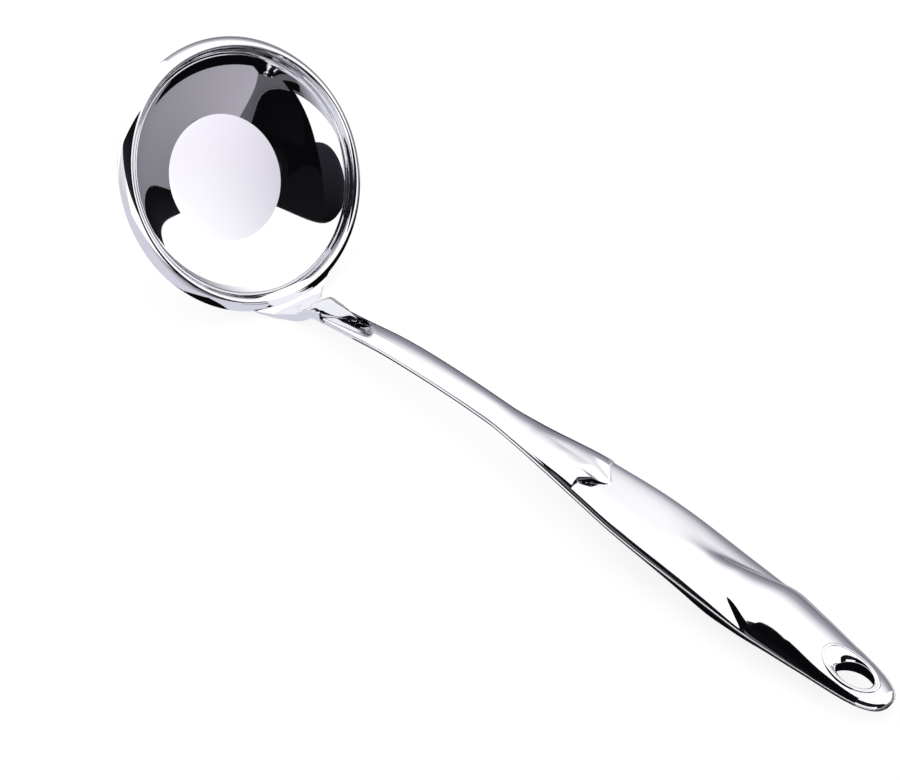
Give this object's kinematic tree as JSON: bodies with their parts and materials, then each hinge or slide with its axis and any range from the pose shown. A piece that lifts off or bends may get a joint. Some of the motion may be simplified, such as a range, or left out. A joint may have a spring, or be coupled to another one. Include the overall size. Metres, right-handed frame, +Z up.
{
  "type": "soup ladle",
  "caption": "Polished steel soup ladle: shallow round bowl with a rolled pouring lip, flared neck and a hollow welded handle ending in a hanging eye.",
  "frame": {"origin": "middle of the bounding box on the table, with the ladle lying on its lip and on the end of its handle", "axes": "+X along the ladle from the bowl to the end of the handle, +Z up from the table, +Y across the ladle; the plane Y = 0 is its plane of symmetry"},
  "size_m": [0.3068, 0.09, 0.077],
  "materials": {
    "bowl_steel": "mirror polished stainless steel",
    "handle_steel": "mirror polished stainless steel",
    "weld_steel": "weld metal ground flush and polished"
  },
  "bodies": {
    "root": {"ladle_bowl": "bowl_steel", "handle_upper_shell": "handle_steel", "handle_lower_shell": "handle_steel", "seam_weld_left": "weld_steel", "seam_weld_right": "weld_steel", "neck_weld": "weld_steel", "hang_eye_sleeve": "handle_steel"}
  },
  "joints": []
}
